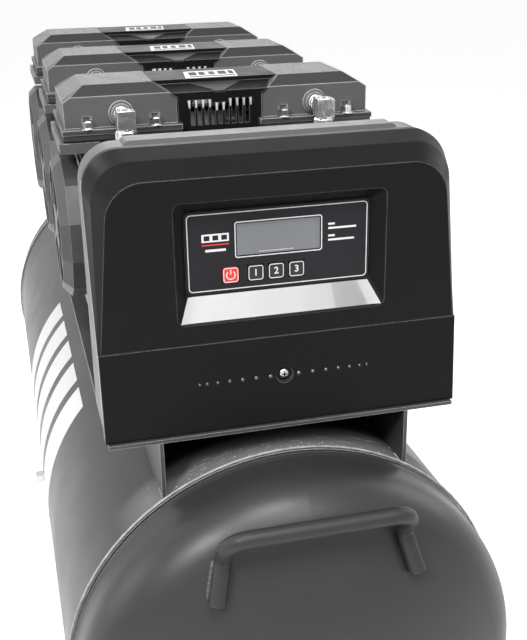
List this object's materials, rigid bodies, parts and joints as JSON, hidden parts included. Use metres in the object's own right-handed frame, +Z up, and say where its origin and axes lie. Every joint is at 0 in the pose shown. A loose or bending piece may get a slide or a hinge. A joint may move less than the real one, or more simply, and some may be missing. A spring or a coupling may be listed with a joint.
{
  "type": "air compressor",
  "caption": "Oil-free air compressor: twin-head pumps in a row on a horizontal receiver, with a control box, handle, feet and wheels.",
  "frame": {"origin": "on the floor, at the bottom centre of the machine's box", "axes": "+Z up, +Y along the receiver from the control box to the wheels, +X to the right as seen from the control box"},
  "size_m": [0.3768, 1.091, 0.6941],
  "materials": {
    "tank_paint": "fine textured powder coat, low sheen",
    "handle_paint": "powder coat over bent bar",
    "platform_paint": "powder coat",
    "head_paint": "satin paint on casting",
    "cylinder_cast": "as cast",
    "crankcase_cast": "as cast",
    "plate_steel": "ground plate with dark gasket",
    "motor_paint": "satin",
    "rotor_steel": "ground shaft, laminated core",
    "fan_plastic": "moulded",
    "cover_plastic": "moulded",
    "lid_plastic": "moulded, satin",
    "box_plastic": "moulded, fine matt",
    "rear_plastic": "moulded, fine matt",
    "membrane": "gloss film",
    "lcd": "unlit grey display",
    "key_red": "gloss film over dome",
    "key_black": "gloss film over dome",
    "screw_steel": "zinc plated",
    "nickel": "bright nickel plate, slightly worn",
    "brass": "machined",
    "hose": "smooth tube",
    "board": "lacquered board",
    "lever_grip": "dipped",
    "rubber": "moulded",
    "tyre": "solid rubber",
    "wheel": "moulded",
    "axle_steel": "turned"
  },
  "bodies": {
    "root": {"tank_shell": "tank_paint", "front_head": "tank_paint", "rear_head": "tank_paint", "front_handle": "handle_paint", "platform": "platform_paint", "platform_rails": "platform_paint", "rubber_mounts": "rubber", "head_screws": "screw_steel", "outlet_elbows": "nickel", "air_hoses": "hose", "manifold_blocks": "brass", "crankcases": "crankcase_cast", "motor_housings": "motor_paint", "valve_plates": "plate_steel", "cylinders": "cylinder_cast", "upper_cover": "box_plastic", "lower_cover": "box_plastic", "rear_housing": "rear_plastic", "display_membrane": "membrane", "lcd_window": "lcd", "cover_screw": "screw_steel", "control_board": "board", "axle_frame": "platform_paint", "axle": "axle_steel", "front_stand": "platform_paint", "rubber_feet": "rubber", "port_plugs": "screw_steel", "outlet_valve": "brass", "safety_valve": "brass", "drain_cock": "brass", "head_right_1": "head_paint", "head_left_1": "head_paint", "motor_cover_1": "lid_plastic", "fan_covers_1": "cover_plastic", "head_right_2": "head_paint", "head_left_2": "head_paint", "motor_cover_2": "lid_plastic", "fan_covers_2": "cover_plastic", "head_right_3": "head_paint", "head_left_3": "head_paint", "motor_cover_3": "lid_plastic", "fan_covers_3": "cover_plastic"},
    "outlet_lever": {"outlet_lever": "lever_grip"},
    "safety_ring": {"safety_ring": "screw_steel"},
    "drain_knob": {"drain_knob": "brass"},
    "power_button": {"power_button": "key_red"},
    "pump_button_1": {"pump_button_1": "key_black"},
    "pump_button_2": {"pump_button_2": "key_black"},
    "pump_button_3": {"pump_button_3": "key_black"},
    "rotor_1": {"rotor_shaft_1": "rotor_steel", "fans_1": "fan_plastic"},
    "rotor_2": {"rotor_shaft_2": "rotor_steel", "fans_2": "fan_plastic"},
    "rotor_3": {"rotor_shaft_3": "rotor_steel", "fans_3": "fan_plastic"},
    "left_wheel": {"wheel_left": "wheel", "tyre_left": "tyre"},
    "right_wheel": {"wheel_right": "wheel", "tyre_right": "tyre"}
  },
  "joints": [
    {"name": "rotor_spin_1", "type": "hinge", "parent": "root", "child": "rotor_1", "pos_m": [0, -0.184, 0.565], "axis": [1, 0, 0], "continuous": true},
    {"name": "rotor_spin_2", "type": "hinge", "parent": "root", "child": "rotor_2", "pos_m": [0, 0.011, 0.565], "axis": [1, 0, 0], "continuous": true},
    {"name": "rotor_spin_3", "type": "hinge", "parent": "root", "child": "rotor_3", "pos_m": [0, 0.206, 0.565], "axis": [1, 0, 0], "continuous": true},
    {"name": "left_wheel_spin", "type": "hinge", "parent": "root", "child": "left_wheel", "pos_m": [-0.136, 0.305, 0.0625], "axis": [1, 0, 0], "continuous": true},
    {"name": "right_wheel_spin", "type": "hinge", "parent": "root", "child": "right_wheel", "pos_m": [0.136, 0.305, 0.0625], "axis": [1, 0, 0], "continuous": true},
    {"name": "outlet_lever_turn", "type": "hinge", "parent": "root", "child": "outlet_lever", "pos_m": [0.0625, 0.375, 0.4914], "axis": [0, 0, -1], "range_deg": [0, 90]},
    {"name": "safety_ring_pull", "type": "slide", "parent": "root", "child": "safety_ring", "axis": [0, 0, 1], "range_m": [0, 0.002], "stiffness_N_per_m": 500},
    {"name": "drain_knob_turn", "type": "hinge", "parent": "root", "child": "drain_knob", "pos_m": [0, 0, 0.065], "axis": [0, 0, -1], "range_deg": [0, 180]},
    {"name": "power_button_press", "type": "slide", "parent": "root", "child": "power_button", "axis": [0, 1, 0], "range_m": [0, 0.0008], "stiffness_N_per_m": 400},
    {"name": "pump_button_1_press", "type": "slide", "parent": "root", "child": "pump_button_1", "axis": [0, 1, 0], "range_m": [0, 0.0008], "stiffness_N_per_m": 400},
    {"name": "pump_button_2_press", "type": "slide", "parent": "root", "child": "pump_button_2", "axis": [0, 1, 0], "range_m": [0, 0.0008], "stiffness_N_per_m": 400},
    {"name": "pump_button_3_press", "type": "slide", "parent": "root", "child": "pump_button_3", "axis": [0, 1, 0], "range_m": [0, 0.0008], "stiffness_N_per_m": 400}
  ]
}
